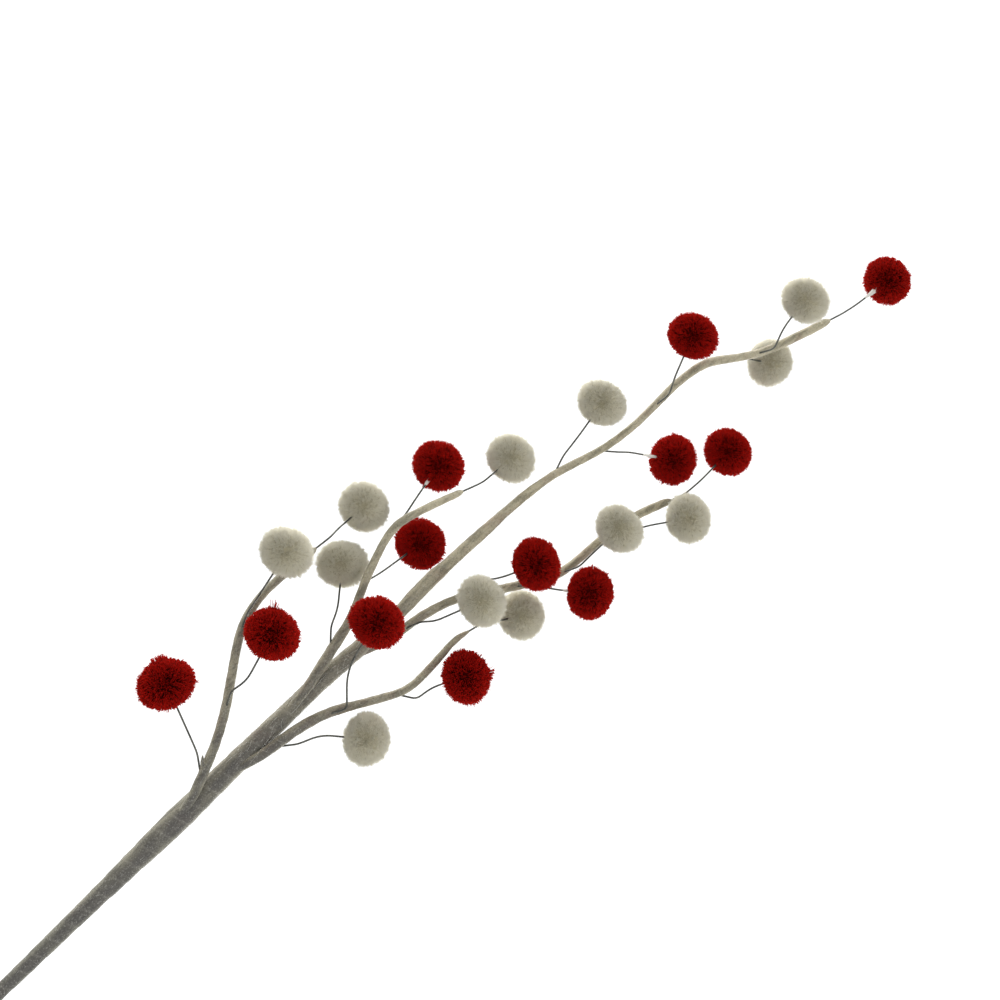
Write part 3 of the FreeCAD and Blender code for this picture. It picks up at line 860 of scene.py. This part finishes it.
def build_ball(pom, seed):
    """A pom pom as one piece: its core, painted dark as shade, and its fibres, with the map that
    its finish reads.
    """
    ball, stray = Ball(pom, seed), STRAYS.get(pom, [])
    if pom in RED:
        fibres = grow(ball, 1250, 6, 0.032, 0.008, 0.12 * MM, 0.150 * MM, stray)
        shade_core, finish, slot = core(ball, 0.86), red_yarn, "red_yarn"
    else:
        fibres = grow(ball, 1600, 10, 0.028, 0.020, 0.19 * MM, 0, stray)
        shade_core, finish, slot = core(ball, 0.84), cream_yarn, "cream_yarn"
    vertices, faces = joined([shade_core, fibres[:2]])
    made = piece("pom_" + pom + "_cut_yarn", vertices, faces, finish, slot)
    marks = np.vstack([np.tile(CORE_SHADE_MARKS, (shade_core[1].size, 1)), fibres[2]])
    layer = made.data.uv_layers.new(name="OFBake")
    layer.data.foreach_set("uv", marks.astype(np.float32).ravel())
    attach(made, "pom_" + pom)
    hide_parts("pom_" + pom + "_yarn_ball")
    return made


balls = [build_ball(pom, 100 + number) for number, pom in enumerate(POMS)]
print(len(balls), "balls,", sum(len(made.data.polygons) for made in balls), "triangles")

# %% [markdown]
# ## Scraps of tape
# Work done by hand leaves marks: a torn end of tape that stands off the first fork, and pale
# sleeves where a wire goes into its ball. Each is a short tube whose radius changes along it.

# %% Build the scraps
def sleeve(name, line, widths, body, pale):
    """A short tube of tape along a line, whose radius runs through a few widths in equal steps."""
    places = np.linspace(0, 1, len(line))
    size = np.interp(places, np.linspace(0, 1, len(widths)), widths) * MM
    radii, marks = wound(size, along_line(line), 12, 2.2 * MM, 0.10 * MM, 0.12, len(line))
    made = piece(name, *tube(line, radii, FORWARD), tape, "tape")
    marked(made, marks, 0, 0 if pale else len(made.data.vertices))
    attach(made, body)


def neck(pom, length, widths):
    """A pale sleeve of tape on the last stretch of a wire. Its end is inside the ball."""
    line = wires[pom]
    away = np.linalg.norm(line - ball_middle(pom), axis=1)
    ball = Ball(pom, 1)
    kept = line[(away < ball.along + length) & (away > ball.along * 0.80)]
    line = evened(kept, np.ones(len(kept)), 0.4 * MM, 2)[0]
    sleeve("pom_" + pom + "_neck_tape", line, widths, "pom_" + pom, True)


for pom, length, widths in (("c6", 7 * MM, (0.55, 1.0, 1.5)), ("b3", 2.5 * MM, (0.5, 0.8, 0.9)),
                            ("c2", 7 * MM, (0.5, 0.75, 0.6)), ("d3", 2 * MM, (0.5, 0.7, 0.8))):
    neck(pom, length, widths)

points, size = twig_lines["a"]
way = unit(np.array([-0.93, -0.25, 0.27]))
share = np.linspace(0, 1, 16)[:, None]
spike = points[5] + way * share * 6.0 * MM + UPWARD * share ** 2 * 2.0 * MM
sleeve("twig_a_torn_tape", spike, (1.5, 1.3, 0.9, 0.25), "twig_a", False)
scraps = [made.name for made in bpy.data.objects if made.name.endswith(("neck_tape", "torn_tape"))]
print("scraps:", scraps)

# %% [markdown]
# ## The floor
# The spray stands on a pale floor that fades out before its edge. The floor is a flat disc of three
# rings round a middle point, and it is not joined to any part of the spray.

# %% Build the floor
def floor_finish():
    """Pale matt ground that fades out between 12 and 29 cm from the stem."""
    finish = Finish("pale_floor")
    place = finish.node("TexCoord", {}, {}, 3)
    away = finish.node("VectorMath", {"operation": "LENGTH"}, {0: place}, 1)
    grain = finish.speckle(place, 60.0, 3.0)
    surface = finish.node("BsdfPrincipled", {}, {
        "Base Color": finish.blend(grain, colour(0.66, 0.66, 0.65), colour(0.72, 0.72, 0.71)),
        "Roughness": 0.7, "Alpha": 1 - finish.ramp(away, 0.12, 0.29)})
    return finish.done(surface)


SPOKES = 96
angle, reach = np.meshgrid(turned(SPOKES), [0.06, 0.15, 0.30], indexing="ij")
rim = np.stack([reach * np.cos(angle), reach * np.sin(angle), np.zeros_like(reach)], -1)
spot = np.arange(SPOKES) * 3
after = (spot + 3) % (3 * SPOKES)
rows = [np.stack([np.full(SPOKES, 3 * SPOKES), spot, after], -1)]
for ring in (0, 1):
    rows += [np.stack([spot + ring, spot + ring + 1, after + ring + 1], -1),
             np.stack([spot + ring, after + ring + 1, after + ring], -1)]
mesh = bpy.data.meshes.new("floor")
mesh.from_pydata(np.vstack([rim.reshape(-1, 3), [0, 0, 0]]).tolist(), [], np.vstack(rows).tolist())
mesh.materials.append(floor_finish())
floor = bpy.data.objects.new("floor", mesh)
bpy.context.scene.collection.objects.link(floor)
print("floor:", len(mesh.polygons), "faces")

# %% [markdown]
# ## Light
# The room is bright and white. Lamps behind the spray and above it give the balls their glowing
# rims, and a weaker one in front keeps the near side deep in colour. A Light Path node lets the
# room look pure white to the camera and yet light the spray only softly.

# %% Light the room
def lamp(name, place, aim, size, power, tint=(1, 1, 1)):
    """A soft square lamp that faces a point."""
    data = bpy.data.lights.new(name, "AREA")
    data.size, data.energy, data.color = size, power, tint
    made = bpy.data.objects.new(name, data)
    made.location = place
    made.rotation_euler = (Vector(aim) - Vector(place)).to_track_quat("-Z", "Y").to_euler()
    made.visible_camera = False
    bpy.context.scene.collection.objects.link(made)


world = bpy.data.worlds.new("white_room")
world.use_nodes = True
bpy.context.scene.world = world
nodes, links = world.node_tree.nodes, world.node_tree.links
nodes.clear()
seen, soft = nodes.new("ShaderNodeBackground"), nodes.new("ShaderNodeBackground")
seen.inputs["Strength"].default_value = 1.6
soft.inputs["Color"].default_value = colour(0.97, 0.98, 1.0)
soft.inputs["Strength"].default_value = 0.94
path, either = nodes.new("ShaderNodeLightPath"), nodes.new("ShaderNodeMixShader")
output = nodes.new("ShaderNodeOutputWorld")
links.new(path.outputs["Is Camera Ray"], either.inputs[0])
links.new(soft.outputs[0], either.inputs[1])
links.new(seen.outputs[0], either.inputs[2])
links.new(either.outputs[0], output.inputs["Surface"])

centre = (cad_box[0] + cad_box[1]) / 2
lamp("back_left", centre + Vector((-0.9, 0.8, 0.5)), centre, 0.8, 15)
lamp("back_right", centre + Vector((0.9, 0.9, 0.1)), centre, 0.8, 15)
lamp("above", centre + Vector((-0.2, 0.2, 1.3)), centre, 0.8, 12)
lamp("low_front", centre + Vector((0.5, -1.3, -0.1)), centre, 1.2, 5)
print("lamps:", len(bpy.data.lights))
